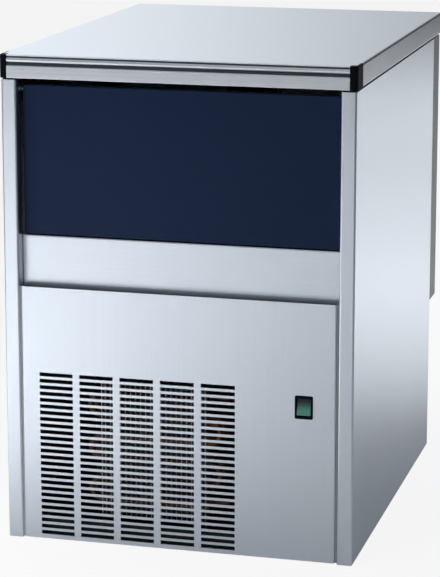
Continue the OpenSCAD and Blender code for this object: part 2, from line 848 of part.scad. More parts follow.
// Pivot pins, held in the shoes that slide in the rails
module door_pins() {
    color("silver") both_sides() rod_x(pin_r, door_half - pin_engage, shoe_in + shoe_w, pin_y, pin_z);
}
module door_shoes() {
    color("whitesmoke") both_sides() difference() {
        along_x(shoe_in, shoe_in + shoe_w) rounded_rect([pin_y - shoe_len / 2, pin_z - shoe_h / 2],
            [pin_y + shoe_len / 2, pin_z + shoe_h / 2], 2);
        rod_x(pin_r + 0.01, shoe_in - 1, shoe_in + shoe_w + 1, pin_y, pin_z);
    }
}

// Guide rail: a channel on a foot that stands on the bin's rim
module rail_section() {
    slot_lo = pin_z - rail_slot_h / 2;
    slot_hi = pin_z + rail_slot_h / 2;
    rect2([rail_web, bin_top + seat_gap], [rail_web + rail_t, slot_hi + rail_t]);
    rect2([rail_in, slot_hi], [rail_web, slot_hi + rail_t]);
    rect2([rail_in, slot_lo - rail_t], [rail_web, slot_lo]);
    rect2([rail_in + 2, bin_top + seat_gap], [foam_half - 1, bin_top + seat_gap + rail_t]);
}
module door_rail() { along_y(rail_front, rail_front + rail_len) rail_section(); }
module right_door_rail() {
    color("silver") difference() {
        door_rail();
        block([rail_in - 1, rail_front - 1, bin_top],
            [half_w, liner_front, pin_z - rail_slot_h / 2 - rail_t]);
    }
}
module left_door_rail() { mirror([1, 0, 0]) right_door_rail(); }

// Ice spout: a collar round the breaker head and a duct through the bin's rear wall
module ice_spout() {
    spout_top = spout_z + spout_h;
    color("#dfe3e6") difference() {
        union() {
            rod_z(collar_out, spout_z, spout_top, 0, barrel_y);
            block([-spout_w / 2, spout_front, spout_z], [spout_w / 2, barrel_y, spout_top]);
        }
        rod_z(collar_in, spout_z - 1, spout_top - spout_t, 0, barrel_y);
        block([-spout_w / 2 + spout_t, spout_front - 1, spout_z + spout_t],
            [spout_w / 2 - spout_t, barrel_y, spout_top - spout_t]);
    }
}

// Freezing barrel with its refrigerant jacket, end flanges and pipe stubs
module freezing_barrel() {
    color("silver") difference() {
        union() {
            rod_z(barrel_out, barrel_z, barrel_top, 0, barrel_y);
            rod_z(jacket_r, jacket_z, jacket_top, 0, barrel_y);
            rod_z(barrel_flange_r, barrel_z, barrel_z + barrel_flange_t, 0, barrel_y);
            rod_z(barrel_flange_r, barrel_top - barrel_flange_t, barrel_top, 0, barrel_y);
            for (z = [suction_stub_z, liquid_stub_z]) rod_x(stub_r, -stub_out, 0, barrel_y, z);
        }
        rod_z(barrel_r, barrel_z - 1, barrel_top + 1, 0, barrel_y);
    }
}

// Foam shell round the barrel, between its flanges
module barrel_insulation() {
    shell_gap = barrel_flange_t + seat_gap;
    color("#2b2e31") difference() {
        rod_z(barrel_foam_r, barrel_z + shell_gap, barrel_top - shell_gap, 0, barrel_y);
        rod_z(barrel_out + seat_gap, barrel_z, barrel_top, 0, barrel_y);
        rod_z(jacket_r + seat_gap, jacket_z - seat_gap, jacket_top + seat_gap, 0, barrel_y);
        for (z = [suction_stub_z, liquid_stub_z]) rod_x(stub_r + seat_gap, -stub_out - 1, 0, barrel_y, z);
    }
}

// Auger: core with a helical flight, and shaft ends for the bearings
module auger() {
    flight_lo = barrel_z + 4;
    flight_h = barrel_len - 8;
    flight_deg = 360 * auger_flight_t / auger_pitch;
    flight_steps = 2;
    color("lightsteelblue") translate([0, barrel_y, 0]) {
        translate([0, 0, flight_lo])
            linear_extrude(height = flight_h, twist = -360 * flight_h / auger_pitch, slices = 72, $fn = 8)
                polygon(concat([[0, 0]], [for (i = [0 : flight_steps])
                    auger_r * [cos(i * flight_deg / flight_steps), sin(i * flight_deg / flight_steps)]]));
        translate([0, 0, barrel_z + 1]) cylinder(r = auger_core_r, h = barrel_len - 2);
        translate([0, 0, reducer_top - shaft_in_reducer])
            cylinder(r = auger_shaft_r, h = head_z + head_h - 2 - reducer_top + shaft_in_reducer);
    }
}

// Ice breaker head: ring, hub and ribs over the barrel
module ice_breaker_head() {
    hub_out = auger_shaft_r + 6;
    rib_t = 6;
    ring_h = 5;
    color("peru") translate([0, barrel_y, head_z]) difference() {
        union() {
            difference() {
                cylinder(r = barrel_out - seat_gap, h = ring_h);
                translate([0, 0, -1]) cylinder(r = barrel_r - 2, h = ring_h + 2);
            }
            cylinder(r = hub_out, h = head_h);
            for (a = [0 : 60 : 300]) rotate(a) translate([hub_out - 2, -rib_t / 2, 0])
                cube([barrel_r - hub_out + 1, rib_t, head_h - 8]);
        }
        translate([0, 0, -1]) cylinder(r = shaft_bore_r, h = head_h + 2);
    }
}

// Lower bearing housing with the water stub
module lower_bearing_housing() {
    flange_h = 7;
    color("peru") difference() {
        union() {
            rod_z(barrel_flange_r, bearing_z, bearing_z + flange_h, 0, barrel_y);
            rod_z(barrel_flange_r, bearing_z + bearing_h - flange_h, bearing_z + bearing_h, 0, barrel_y);
            rod_z(bearing_wall_r, bearing_z, bearing_z + bearing_h, 0, barrel_y);
            rod_x(feed_stub_r, 0, bearing_wall_r + feed_stub_len, barrel_y, feed_stub_z);
        }
        rod_z(shaft_bore_r, bearing_z - 1, bearing_z + bearing_h + 1, 0, barrel_y);
        rod_z(barrel_r - 6, bearing_z + bearing_h / 2, bearing_z + bearing_h + 1, 0, barrel_y);
        rod_x(feed_stub_r - 2, barrel_r - 8, bearing_wall_r + feed_stub_len + 1, barrel_y, feed_stub_z);
    }
}

// Gear reducer: ribbed cast housing with the output bore
module gear_reducer() {
    case_w = 124;
    case_d = 104;
    rib_h = 5;
    rib_t = 4;
    rib_pitch = 18;
    flange_t = 7;
    color("#9aa0a4") difference() {
        union() {
            along_z(reducer_z, reducer_top) rounded_rect([-case_w / 2, barrel_y - case_d / 2],
                [case_w / 2, barrel_y + case_d / 2], 18);
            along_z(reducer_z, reducer_z + flange_t)
                rounded_rect([-case_w / 2 - 8, barrel_y - case_d / 2 - 4],
                    [case_w / 2 + 8, barrel_y + case_d / 2 + 4], 12);
            for (i = [-2 : 2]) translate([0, barrel_y + rib_pitch * i, 0])
                block([-case_w / 2 - rib_h, -rib_t / 2, reducer_z],
                    [case_w / 2 + rib_h, rib_t / 2, reducer_top - 10]);
        }
        rod_z(shaft_bore_r, reducer_top - shaft_in_reducer - 1, reducer_top + 1, 0, barrel_y);
    }
}

// Gear motor under the reducer, with cooling ribs
module gear_motor() {
    rib_pitch = 12;
    rib_t = 4;
    top_z = reducer_z - 0.1;
    low_z = top_z - motor_drop;
    color("#5d6468") {
        rod_z(gear_motor_r - 3, low_z, top_z, 0, barrel_y);
        for (z = [low_z + rib_pitch : rib_pitch : top_z - rib_pitch])
            rod_z(gear_motor_r, z - rib_t, z, 0, barrel_y);
        rod_z(gear_motor_r - 12, low_z - 6, low_z, 0, barrel_y);
    }
}

// Pedestal that stands on the base and carries the reducer
module drive_pedestal() {
    leg_x = 72;
    foot_w = 18;
    t = 3;
    depth = 96;
    color("gainsboro") difference() {
        along_y(barrel_y - depth / 2, barrel_y + depth / 2) {
            rect2([-leg_x, pedestal_h - t], [leg_x, pedestal_h]);
            both_sides() {
                rect2([leg_x - t, base_t + seat_gap], [leg_x, pedestal_h]);
                rect2([leg_x - t, base_t + seat_gap], [leg_x + foot_w, base_t + seat_gap + t]);
            }
        }
        rod_z(gear_motor_r + 1, pedestal_h - t - 1, pedestal_h + 1, 0, barrel_y);
        rod_x(30, -leg_x - 1, leg_x + 1, barrel_y, pedestal_h / 2);
    }
}

// Hermetic compressor: domed can on a foot plate, with a terminal cover and pipe stubs
module compressor() {
    seam_r = compressor_r + 2;
    seam_z = compressor_z + compressor_h / 2;
    dome_h = 34;
    dome_z = compressor_z + compressor_h - dome_h;
    plate_z = compressor_z - foot_plate_t;
    plate_margin = 15;
    cover_size = [32, 52, 60];
    color("#1c1e20") difference() {
        translate([compressor_x, compressor_y, 0]) {
            rotate_extrude() intersection() {
                union() {
                    rect2([0, compressor_z], [compressor_r, dome_z]);
                    translate([0, dome_z]) rect2([0, 0], [compressor_r - dome_h, dome_h]);
                    translate([compressor_r - dome_h, dome_z]) circle(dome_h);
                    rect2([0, seam_z - 3], [seam_r, seam_z + 3]);
                }
                rect2([0, compressor_z], [seam_r, compressor_z + compressor_h]);
            }
            along_z(plate_z, compressor_z)
                rounded_rect([-mount_span_x / 2 - plate_margin, -mount_span_y / 2 - plate_margin],
                    [mount_span_x / 2 + plate_margin, mount_span_y / 2 + plate_margin], plate_margin);
            translate([compressor_r - 8, -cover_size.y / 2, seam_z - 20]) cube(cover_size);
            rod_x(stub_r, -port_reach, 0, 0, suction_port_z);
            rod_y(stub_r, -port_reach, 0, 0, discharge_port_z);
        }
        for (x = [-1, 1], y = [-1, 1]) rod_z(mount_hole_r, plate_z - 1, compressor_z + 1,
            compressor_x + x * mount_span_x / 2, compressor_y + y * mount_span_y / 2);
    }
}

// Rubber mounts between the compressor's foot plate and the base
module compressor_mounts() {
    pad_r = 12;
    plate_z = compressor_z - foot_plate_t;
    color("#26282a") for (x = [-1, 1], y = [-1, 1])
        translate([compressor_x + x * mount_span_x / 2, compressor_y + y * mount_span_y / 2, 0]) {
            translate([0, 0, base_t + 0.1]) cylinder(r = pad_r, h = plate_z - base_t - 0.2);
            translate([0, 0, plate_z - 0.1]) cylinder(r = mount_hole_r - seat_gap, h = foot_plate_t + 4);
        }
}

// Condenser: fins between two end plates, on the tubes of the coil
module fin_section(lo, hi) {
    difference() {
        rect2([condenser_front, lo], [condenser_back, hi]);
        for (y = tube_ys, z = tube_zs) translate([y, z]) circle(tube_hole_r);
    }
}
module condenser_fins() {
    color("silver") {
        for (i = [0 : fin_count - 1]) translate([condenser_x - fin_span / 2 + i * fin_pitch, 0, 0])
            along_x(-fin_t / 2, fin_t / 2) fin_section(condenser_z, condenser_z + fin_h);
        for (x = [-tube_end, tube_end - end_plate_t]) translate([condenser_x, 0, 0])
            along_x(x, x + end_plate_t) fin_section(base_t + seat_gap, condenser_z + fin_h);
    }
}

// Copper coil: straight tubes joined by return bends at both ends
module return_bend(x, y, z, side) {
    translate([x, y, z]) rotate([90, 0, 0]) rotate(side > 0 ? -90 : 90) rotate_extrude(angle = 180)
        translate([tube_pitch / 2, 0]) circle(tube_r);
}
module condenser_coil() {
    left_x = condenser_x - coil_reach;
    right_x = condenser_x + coil_reach;
    color("#b4673c") for (y = tube_ys) {
        for (z = tube_zs) rod_x(tube_r, left_x, right_x, y, z);
        for (i = [0 : 2 : tube_rows - 2]) return_bend(left_x, y, tube_zs[i] + tube_pitch / 2, -1);
        for (i = [1 : 2 : tube_rows - 3]) return_bend(right_x, y, tube_zs[i] + tube_pitch / 2, 1);
    }
}

// Fan shroud: a box behind the condenser with a round orifice
module fan_shroud() {
    half = orifice_r + 8;
    lip_len = 14;
    color("#3c4145") difference() {
        union() {
            block([condenser_x - half, shroud_front, condenser_z],
                [condenser_x + half, orifice_y, condenser_z + fin_h]);
            rod_y(orifice_r + shroud_t, orifice_y, orifice_y + lip_len, condenser_x, fan_z);
        }
        block([condenser_x - half + shroud_t, shroud_front - 1, condenser_z + shroud_t],
            [condenser_x + half - shroud_t, orifice_y - shroud_t, condenser_z + fin_h - shroud_t]);
        rod_y(orifice_r, shroud_front + 1, orifice_y + lip_len + 1, condenser_x, fan_z);
    }
}

// Fan motor with its shaft
module fan_motor() {
    color("#4a4f53") {
        rod_y(motor_r, motor_front + 6, motor_back - 6, condenser_x, fan_z);
        rod_y(motor_r - 6, motor_front, motor_back, condenser_x, fan_z);
        rod_y(fan_shaft_r, fan_y - hub_len / 2 + 2, motor_front, condenser_x, fan_z);
    }
}

// Bracket that carries the fan motor on the base
module fan_bracket() {
    t = 2;
    half = 30;
    plate_y = motor_back + seat_gap;
    foot_z = base_t + seat_gap;
    foot_len = 40;
    foot_y = plate_y + foot_len;
    color("gainsboro") {
        block([condenser_x - half, plate_y, foot_z], [condenser_x + half, plate_y + t, fan_z + half]);
        block([condenser_x - half, plate_y + t, foot_z], [condenser_x + half, foot_y, foot_z + t]);
        for (x = [condenser_x - half, condenser_x + half - t]) along_x(x, x + t)
            polygon([[plate_y + t, foot_z + t], [foot_y, foot_z + t], [plate_y + t, fan_z - 10]]);
    }
}

// Axial fan: hub and pitched blades
module fan_blade() {
    color("#2d3033") translate([condenser_x, fan_y, fan_z]) rotate([90, 0, 0]) difference() {
        union() {
            translate([0, 0, -hub_len / 2]) cylinder(r = hub_r, h = hub_len);
            intersection() {
                union() {
                    for (i = [0 : fan_blades - 1]) rotate(360 * i / fan_blades)
                        rotate([fan_pitch_deg, 0, 0]) translate([hub_r - 4, -fan_chord / 2, -blade_t / 2])
                            cube([fan_r - hub_r + 4, fan_chord, blade_t]);
                }
                translate([0, 0, -hub_len]) cylinder(r = fan_r, h = 2 * hub_len);
            }
        }
        translate([0, 0, -hub_len]) cylinder(r = fan_shaft_r + run_gap, h = 2 * hub_len - 4);
    }
}

// Filter drier: spun copper can
module filter_drier() {
    neck_r = pipe_r + 1;
    neck = 12;
    cone = 26;
    color("#b4673c") translate([drier_x, drier_y, drier_z]) rotate([-90, 0, 0]) rotate_extrude()
        polygon([[0, 0], [neck_r, 0], [neck_r, neck], [drier_r, cone], [drier_r, drier_len - cone],
            [neck_r, drier_len - neck], [neck_r, drier_len], [0, drier_len]]);
}

// Refrigerant pipes
module discharge_pipe() {
    z = tube_zs[tube_rows - 1];
    x = condenser_x + coil_reach + seat_gap;
    color("#b4673c") tube([[compressor_x, compressor_y - port_reach - seat_gap, discharge_port_z],
        [compressor_x, compressor_y - port_reach - pipe_run, discharge_port_z],
        [x + elbow_reach, orifice_y + 40, z],
        [x + elbow_reach, tube_ys[1], z], [x, tube_ys[1], z]], pipe_r, pipe_bend);
}
module liquid_pipe() {
    x = condenser_x + coil_reach + seat_gap;
    z = tube_zs[0];
    color("#b4673c") {
        tube([[x, tube_ys[1], z], [x + elbow_reach, tube_ys[1], z],
            [x + elbow_reach, motor_back + pipe_run, drier_z],
            [drier_x, motor_back + pipe_run, drier_z], [drier_x, drier_y - seat_gap, drier_z]],
            pipe_r, pipe_bend);
        tube([[drier_x, drier_y + drier_len + seat_gap, drier_z], [drier_x, barrel_y, drier_z],
            [liquid_riser_x, barrel_y, drier_z], [liquid_riser_x, barrel_y, liquid_stub_z],
            [-stub_out - seat_gap, barrel_y, liquid_stub_z]], pipe_r, pipe_bend);
    }
}
module suction_pipe() {
    x = suction_riser_x;
    color("#b4673c") tube([[-stub_out - seat_gap, barrel_y, suction_stub_z], [x, barrel_y, suction_stub_z],
        [x, barrel_y, suction_port_z], [x, compressor_y, suction_port_z],
        [compressor_x - port_reach - seat_gap, compressor_y, suction_port_z]], pipe_r + 1, pipe_bend);
}

// Float tank on the rear cover, with an outlet in its floor
module float_tank() {
    color("#dfe3e6") difference() {
        union() {
            block([tank_x, tank_front, tank_z], [tank_x + tank_w, tank_back, tank_z + tank_h]);
            rod_z(feed_stub_r, tank_z - tank_stub_len, tank_z, tank_spout_x, tank_stub_y);
        }
        block([tank_x + tank_t, tank_front + tank_t, tank_z + tank_t],
            [tank_x + tank_w - tank_t, tank_back - tank_t, tank_z + tank_h + 1]);
        rod_z(feed_stub_r - 2, tank_z - tank_stub_len - 1, tank_z + tank_t + 1, tank_spout_x, tank_stub_y);
    }
}

// Lid of the tank, with the float arm's lugs and the inlet stub
module float_tank_lid() {
    lug_t = 4;
    lug_half = 7;
    lug_in = 5;
    lug_drop = float_pin_z - 6;
    color("#c3c9cd") difference() {
        union() {
            block([tank_x - 2, tank_front - 2, lid_z], [tank_x + tank_w + 2, tank_back, lid_z + lid_t]);
            for (s = [-1, 1]) translate([float_x + s * (lug_in + lug_t / 2), 0, 0])
                block([-lug_t / 2, float_pin_y - lug_half, lug_drop],
                    [lug_t / 2, float_pin_y + lug_half, lid_z + lid_t]);
            rod_z(feed_stub_r, lid_z, lid_z + lid_stub_len, tank_x + lid_stub_in, tank_front + lid_stub_in);
        }
        rod_x(float_pin_r + run_gap, float_x - 20, float_x + 20, float_pin_y, float_pin_z);
        rod_z(feed_stub_r - 2, lid_z - 1, lid_z + lid_stub_len + 1, tank_x + lid_stub_in,
            tank_front + lid_stub_in);
    }
}

// Float on its arm, with the pivot pin
module float_arm() {
    float_r = 15;
    float_h = 26;
    arm_end = float_pin_y - float_arm_len;
    color("#c8542f") {
        rod_x(float_pin_r, float_x - 10, float_x + 10, float_pin_y, float_pin_z);
        block([float_x - 2, arm_end, float_pin_z - 3], [float_x + 2, float_pin_y, float_pin_z + 3]);
        rod_z(float_r, float_pin_z - 3 - float_h, float_pin_z - 3, float_x, arm_end);
    }
}

// Hoses of the water side
module water_feed_hose() {
    y = tank_stub_y;
    stub_end = bearing_wall_r + feed_stub_len + seat_gap;
    color("#cfd6da") tube([[tank_spout_x, y, tank_z - tank_stub_len - seat_gap],
        [tank_spout_x, y, (tank_z + feed_stub_z) / 2],
        [tank_spout_x - lid_stub_in, barrel_y, feed_stub_z], [stub_end + lid_stub_in, barrel_y, feed_stub_z],
        [stub_end, barrel_y, feed_stub_z]], feed_stub_r, hose_reach);
}
module water_inlet_hose() {
    lid_stub_z = lid_z + lid_stub_len + seat_gap;
    x = tank_x + lid_stub_in;
    y = tank_front + lid_stub_in;
    run_y = cover_back - sheet_t - 14;
    side_x = -cover_half + sheet_t + 26;
    top_z = lid_stub_z + 20;
    color("#cfd6da") tube([[inlet_x, valve_y, inlet_z + valve_half + seat_gap],
        [inlet_x, valve_y, cover_z + 20],
        [side_x, run_y, cover_z + 80], [side_x, run_y, top_z], [x, y, top_z], [x, y, lid_stub_z]],
        feed_stub_r - 1, hose_reach);
}

// Electrical box hung under the shelf, with a flanged cover
module electrical_box() {
    top_z = shelf_z - seat_gap;
    seam_z = top_z - box_h + 20;
    color("#bfc4c8") {
        along_z(top_z - box_h, top_z) rounded_rect([box_x, box_front], [box_x + box_w, box_front + box_d], 6);
        along_z(seam_z, seam_z + 6) rounded_rect([box_x - 3, box_front - 3],
            [box_x + box_w + 3, box_front + box_d + 3], 6);
    }
}

// Switch: bezel and body in the front panel, with a well for the rocker
module switch_body() {
    well_d = 13;
    color("#101416") difference() {
        union() {
            along_y(switch_front, front_y - 0.02)
                rounded_rect([switch_x - switch_w / 2, switch_z - switch_h / 2],
                    [switch_x + switch_w / 2, switch_z + switch_h / 2], 2);
            block([switch_x - switch_body_w / 2, front_y - 0.1, switch_z - switch_body_h / 2],
                [switch_x + switch_body_w / 2, face_y - 1, switch_z + switch_body_h / 2]);
        }
        block([switch_x - rocker_w / 2 - rocker_gap, switch_front - 1, switch_z - rocker_h / 2 - rocker_gap],
            [switch_x + rocker_w / 2 + rocker_gap, front_y + well_d, switch_z + rocker_h / 2 + rocker_gap]);
        rod_x(rocker_pin_r + run_gap, switch_x - rocker_w / 2 - 2.5, switch_x + rocker_w / 2 + 2.5,
            rocker_pin_y, switch_z);
    }
}

// Rocker: two faces that meet in a shallow valley, on trunnions
module rocker_section() {
    half = rocker_h / 2;
    valley = -4.4;
    ridge = -5.6;
    back = 4;
    polygon([[valley, 0], [ridge, half - 1], [1, half - 0.4], [back, half - 5], [back, -half + 5],
        [1, -half + 0.4], [ridge, -half + 1]]);
}
module switch_rocker() {
    color("#1f7a5c") translate([switch_x, rocker_pin_y, switch_z]) rotate([-rocker_deg, 0, 0]) {
        along_x(-rocker_w / 2, rocker_w / 2) rocker_section();
        rod_x(rocker_pin_r, -rocker_w / 2 - 2, rocker_w / 2 + 2, 0, 0);
    }
}

// Solenoid water valve: threaded inlet with its nut on the rear panel, body and coil inside
module water_inlet_valve() {
    thread_len = 32;
    nut_t = 6;
    nut_r = inlet_r + 6;
    coil_r = 14;
    coil_len = 40;
    bore = inlet_r - 4;
    bore_depth = 50;
    color("#d5d8da") difference() {
        union() {
            rod_y(inlet_r, valve_y, rear_out + thread_len, inlet_x, inlet_z);
            translate([inlet_x, rear_out + nut_t, inlet_z]) rotate([90, 0, 0])
                cylinder(r = nut_r, h = nut_t - 0.1, $fn = 6);
            block([inlet_x - valve_half - 3, valve_y - valve_half, inlet_z - valve_half],
                [inlet_x + valve_half + 3, valve_back, inlet_z + valve_half]);
            rod_z(coil_r, inlet_z - valve_half - coil_len, inlet_z - valve_half, inlet_x, valve_y);
        }
        rod_y(bore, rear_out + thread_len - bore_depth, rear_out + thread_len + 1, inlet_x, inlet_z);
    }
}

// Drain outlet: flanged spigot
module drain_outlet() {
    spigot = 34;
    flange_t = 3;
    color("#3a3e41") difference() {
        union() {
            rod_y(outlet_r, outlet_in + seat_gap, rear_out + flange_t + spigot, outlet_x, outlet_z);
            rod_y(outlet_r + 8, rear_out + 0.1, rear_out + flange_t, outlet_x, outlet_z);
        }
        rod_y(outlet_r - 3, outlet_in - 1, rear_out + flange_t + spigot + 1, outlet_x, outlet_z);
    }
}

// Cable gland: flange, hexagon and round dome with a passage
module cable_gland() {
    hex_r = gland_r + 4;
    dome_len = 24;
    nut_t = 10;
    lock_t = 6;
    color("#1b1e20") difference() {
        union() {
            rod_y(gland_r, gland_in, rear_out + dome_len, gland_x, gland_z);
            translate([gland_x, rear_out + nut_t + 0.1, gland_z]) rotate([90, 0, 0])
                cylinder(r = hex_r, h = nut_t, $fn = 6);
            translate([gland_x, rear_sheet_y - 0.1, gland_z]) rotate([90, 0, 0])
                cylinder(r = hex_r, h = lock_t, $fn = 6);
        }
        rod_y(gland_bore_r, gland_in - 1, rear_out + dome_len + 1, gland_x, gland_z);
    }
}

base_tray();
left_side_panel();
right_side_panel();
top_panel();
top_front_profile();
left_corner_cap();
right_corner_cap();
top_gasket();
top_insulation();
front_sill();
sill_seal();
front_panel();
rear_panel();
rear_cover();
rear_screws();
bin_shelf();
bin_insulation();
bin_liner();
bin_drain_fitting();
bin_drain_hose();
level_probe_tube();
door_panel();
door_pins();
door_shoes();
left_door_rail();
right_door_rail();
ice_spout();
freezing_barrel();
barrel_insulation();
auger();
ice_breaker_head();
lower_bearing_housing();
gear_reducer();
gear_motor();
drive_pedestal();
compressor();
compressor_mounts();
condenser_fins();
condenser_coil();
fan_shroud();
fan_motor();
fan_bracket();
fan_blade();
filter_drier();
discharge_pipe();
liquid_pipe();
suction_pipe();
float_tank();
float_tank_lid();
float_arm();
water_feed_hose();
water_inlet_hose();
electrical_box();
switch_body();
switch_rocker();
water_inlet_valve();
drain_outlet();
cable_gland();
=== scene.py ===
import json
import math
import bmesh
import bpy
from mathutils import Matrix, Vector


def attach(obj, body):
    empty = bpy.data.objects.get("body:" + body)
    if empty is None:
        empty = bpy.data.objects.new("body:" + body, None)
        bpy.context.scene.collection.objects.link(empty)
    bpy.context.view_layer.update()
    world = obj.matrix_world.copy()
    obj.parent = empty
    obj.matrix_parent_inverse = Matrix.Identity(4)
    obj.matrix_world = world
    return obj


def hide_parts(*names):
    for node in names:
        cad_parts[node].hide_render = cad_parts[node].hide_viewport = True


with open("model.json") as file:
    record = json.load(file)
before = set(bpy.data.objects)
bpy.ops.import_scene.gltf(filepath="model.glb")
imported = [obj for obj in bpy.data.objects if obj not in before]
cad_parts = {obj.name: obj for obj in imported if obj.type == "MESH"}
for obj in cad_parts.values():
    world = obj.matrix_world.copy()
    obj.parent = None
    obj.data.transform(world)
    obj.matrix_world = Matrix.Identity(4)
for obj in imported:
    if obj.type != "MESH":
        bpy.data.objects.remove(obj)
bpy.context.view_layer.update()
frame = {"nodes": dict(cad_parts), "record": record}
nodes = frame["nodes"]
mm = 0.001
onFace = 0.1  # mm, how near a face an edge lies to count as on it
print("frame loaded:", len(nodes), "nodes")

# Camera at the photograph's viewing angle, right of the front and above it
cameraView = {
    "place": (0.8584, -3.3313, 1.1042),  # m
    "turn": 14.846,  # degrees, from straight ahead towards the right side
    "tilt": 11.427,  # degrees downwards
    "lens": 146.49,  # mm
    "sensor": 36,  # mm
    "shiftY": -0.1204,  # share of the picture, which keeps the uprights nearly parallel
    "far": 60,  # m, past which nothing is drawn
}
cameraData = bpy.data.cameras.new("camera")
cameraData.lens = cameraView["lens"]
cameraData.sensor_width = cameraView["sensor"]
cameraData.shift_y = cameraView["shiftY"]
cameraData.clip_end = cameraView["far"]
camera = bpy.data.objects.new("camera", cameraData)
camera.location = cameraView["place"]
camera.rotation_euler = (math.radians(90 - cameraView["tilt"]), 0, math.radians(cameraView["turn"]))
bpy.context.scene.collection.objects.link(camera)
bpy.context.scene.camera = camera
bpy.context.scene.view_settings.view_transform = "Standard"
print("camera set")


# The two corners of a CAD node's box, in mm
def nodeBox(name):
    points = [corner.co / mm for corner in nodes[name].data.vertices]
    return [Vector([pick(p[axis] for p in points) for axis in range(3)]) for pick in (min, max)]


# An sRGB hex colour as the linear colour that shaders use
def linear(hexText):
    parts = [int(hexText[i:i + 2], 16) / 255 for i in (1, 3, 5)]
    return tuple(p / 12.92 if p <= 0.04045 else ((p + 0.055) / 1.055) ** 2.4 for p in parts) + (1.0,)


# Adds a node: settings are attributes or input values, links feed its inputs
def addNode(tree, kind, settings=None, links=None):
    made = tree.nodes.new(kind)
    for key, value in (settings or {}).items():
        if isinstance(key, str) and hasattr(made, key):
            setattr(made, key, value)
        else:
            made.inputs[key].default_value = value
    for key, socket in (links or {}).items():
        tree.links.new(socket, made.inputs[key])
    return made


# A new material with a Principled shader whose constant values sit on its own sockets
def newMaterial(name, sockets):
    material = bpy.data.materials.new(name)
    material.use_nodes = True
    tree = material.node_tree
    tree.nodes.clear()
    shader = addNode(tree, "ShaderNodeBsdfPrincipled", sockets)
    addNode(tree, "ShaderNodeOutputMaterial", None, {"Surface": shader.outputs[0]})
    return material, tree, shader


# An irregular grain with its size in mm along each axis, on Object coordinates
def grainPattern(tree, sizeMm, detail, rough):
    coords = addNode(tree, "ShaderNodeTexCoord")
    scaled = addNode(tree, "ShaderNodeMapping", {"Scale": tuple(1000 / s for s in sizeMm)},
                     {"Vector": coords.outputs["Object"]})
    return addNode(tree, "ShaderNodeTexNoise", {"Scale": 1.0, "Detail": detail, "Roughness": rough},
                   {"Vector": scaled.outputs[0]})


colourSpan = (0.3, 0.7)  # the range of a grain that runs from the first colour to the second
glossSpan = (0.25, 0.75)  # the range that runs from the first roughness to the second


# Two colours, a roughness range and a fine relief (strength, depth in mm), all from one pattern
def surface(tree, shader, pattern, colours, rough, relief):
    share = addNode(tree, "ShaderNodeMapRange", {"From Min": colourSpan[0], "From Max": colourSpan[1]},
                    {"Value": pattern})
    mix = addNode(tree, "ShaderNodeMixRGB", {"Color1": linear(colours[0]), "Color2": linear(colours[1])},
                  {"Fac": share.outputs[0]})
    tree.links.new(mix.outputs[0], shader.inputs["Base Color"])
    gloss = addNode(tree, "ShaderNodeMapRange", {"From Min": glossSpan[0], "From Max": glossSpan[1],
                                                 "To Min": rough[0], "To Max": rough[1]}, {"Value": pattern})
    tree.links.new(gloss.outputs[0], shader.inputs["Roughness"])
    if relief:
        bump = addNode(tree, "ShaderNodeBump", {"Strength": relief[0], "Distance": relief[1] * mm},
                       {"Height": pattern})
        tree.links.new(bump.outputs[0], shader.inputs["Normal"])


# Brushed stainless sheet: long fine streaks along the grain, over a soft satin shine.
# The real brush lines are finer than a pixel, so the streaks are drawn about 2 mm wide to show.
brushing = {
    "colours": ("#dbe2ea", "#e0e7ef"),
    "rough": (0.28, 0.34),
    "streaks": (5.0, 0.62),  # detail and roughness of the grain
    "clouds": (190, 190, 240),  # mm, broad soft patches that the brush leaves
    "cloudGrain": (2.0, 0.5),
    "cloudShare": 0.28,
    "relief": (0.05, 0.03),
    "turned": (0.3, 0.9),  # how far a face looks sideways when its painted shade starts and when it is full
}


def brushedStainless(name, grainMm, paintedSideShade=None):
    material, tree, shader = newMaterial(name, {"Metallic": 1.0})
    streaks = grainPattern(tree, grainMm, *brushing["streaks"])
    clouds = grainPattern(tree, brushing["clouds"], *brushing["cloudGrain"])
    both = addNode(tree, "ShaderNodeMixRGB", {"Fac": brushing["cloudShare"]},
                   {"Color1": streaks.outputs[0], "Color2": clouds.outputs[0]})
    surface(tree, shader, both.outputs[0], brushing["colours"], brushing["rough"], brushing["relief"])
    # painted shade: faces that turn sideways, along X, get a darker base colour
    if paintedSideShade:
        geometry = addNode(tree, "ShaderNodeNewGeometry")
        facing = addNode(tree, "ShaderNodeSeparateXYZ", None, {0: geometry.outputs["Normal"]})
        sideways = addNode(tree, "ShaderNodeMath", {"operation": "ABSOLUTE"}, {0: facing.outputs["X"]})
        start, full = brushing["turned"]
        shade = addNode(tree, "ShaderNodeMapRange",
                        {"From Min": start, "From Max": full, "To Min": 1.0, "To Max": paintedSideShade},
                        {"Value": sideways.outputs[0]})
        plain = shader.inputs["Base Color"].links[0].from_socket
        withPaintedShade = addNode(tree, "ShaderNodeMixRGB", {"blend_type": "MULTIPLY", "Fac": 1.0},
                        {"Color1": plain, "Color2": shade.outputs[0]})
        tree.links.new(withPaintedShade.outputs[0], shader.inputs["Base Color"])
    return material


# A plain finish: one grain, sized in mm along each axis, carries two colours, a roughness range and a relief
grainRoughness = 0.55


def plainFinish(name, sockets, sizeMm, colours, rough, relief, detail=3.0):
    material, tree, shader = newMaterial(name, sockets)
    grain = grainPattern(tree, sizeMm, detail, grainRoughness)
    surface(tree, shader, grain.outputs[0], colours, rough, relief)
    return material


# Galvanised sheet: spangle, flat crystals that differ in shade and gloss
spangle = {"crystal": 9, "colours": ("#7d858a", "#969ea3"), "rough": (0.36, 0.54)}  # crystal size in mm


